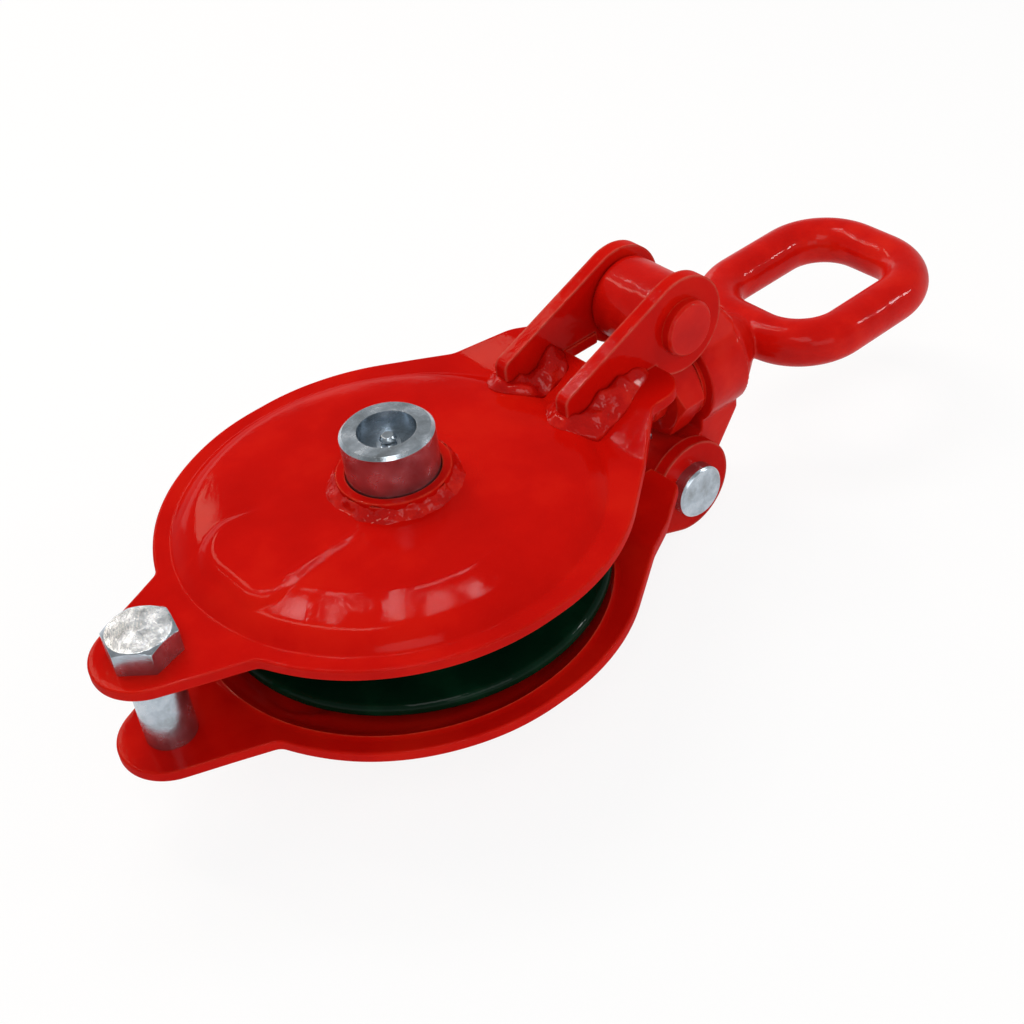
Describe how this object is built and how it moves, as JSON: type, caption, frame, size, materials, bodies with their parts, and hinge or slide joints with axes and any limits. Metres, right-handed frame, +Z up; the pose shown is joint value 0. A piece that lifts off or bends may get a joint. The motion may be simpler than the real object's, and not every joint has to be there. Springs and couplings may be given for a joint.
{
  "type": "snatch block",
  "caption": "Opening pulley block with a grooved sheave between two pressed cheeks, a hinged head and a swivelling oblong eye, for wire rope.",
  "frame": {"origin": "centre of the axle's lower end face, where the block lies on its axle nut and lower lugs", "axes": "+Z up along the sheave's axle, +X towards the swivel eye"},
  "size_m": [0.4035, 0.175, 0.121],
  "materials": {
    "red_paint": "gloss",
    "green_paint": "gloss",
    "zinc": "zinc plated",
    "bronze": "turned"
  },
  "bodies": {
    "frame": {"upper_cheek": "red_paint", "upper_hub_ring": "red_paint", "upper_hub_weld": "red_paint", "upper_near_lug": "red_paint", "upper_near_weld": "red_paint", "upper_far_lug": "red_paint", "upper_far_weld": "red_paint", "upper_hinge_pin": "red_paint", "upper_pin_washer": "red_paint", "upper_thrust_washer": "bronze", "lower_cheek": "red_paint", "lower_hub_ring": "red_paint", "lower_hub_weld": "red_paint", "lower_near_lug": "red_paint", "lower_near_weld": "red_paint", "lower_far_lug": "red_paint", "lower_far_weld": "red_paint", "lower_hinge_pin": "zinc", "lower_pin_washer": "zinc", "lower_thrust_washer": "bronze", "axle": "zinc", "axle_nut": "zinc", "grease_nipple": "zinc", "crosshead": "red_paint", "upper_split_pin": "red_paint", "swivel_washer": "red_paint", "spacer_tube": "zinc", "tail_nut": "zinc"},
    "sheave": {"sheave": "green_paint", "sheave_bush": "bronze"},
    "eye": {"swivel_eye": "red_paint", "stem_nut": "red_paint", "stem_split_pin": "zinc"},
    "clip": {"spring_clip": "zinc"},
    "tail_bolt": {"tail_bolt": "zinc"}
  },
  "joints": [
    {"name": "sheave_spin", "type": "hinge", "parent": "frame", "child": "sheave", "pos_m": [0, 0, 0.0605], "axis": [0, 0, 1], "continuous": true},
    {"name": "eye_swivel", "type": "hinge", "parent": "frame", "child": "eye", "pos_m": [0.1625, 0, 0.0605], "axis": [1, 0, 0], "continuous": true},
    {"name": "clip_out", "type": "slide", "parent": "frame", "child": "clip", "axis": [0, 0, 1], "range_m": [0, 0.024]},
    {"name": "tail_bolt_out", "type": "slide", "parent": "frame", "child": "tail_bolt", "axis": [0, 0, 1], "range_m": [0, 0.053]}
  ]
}
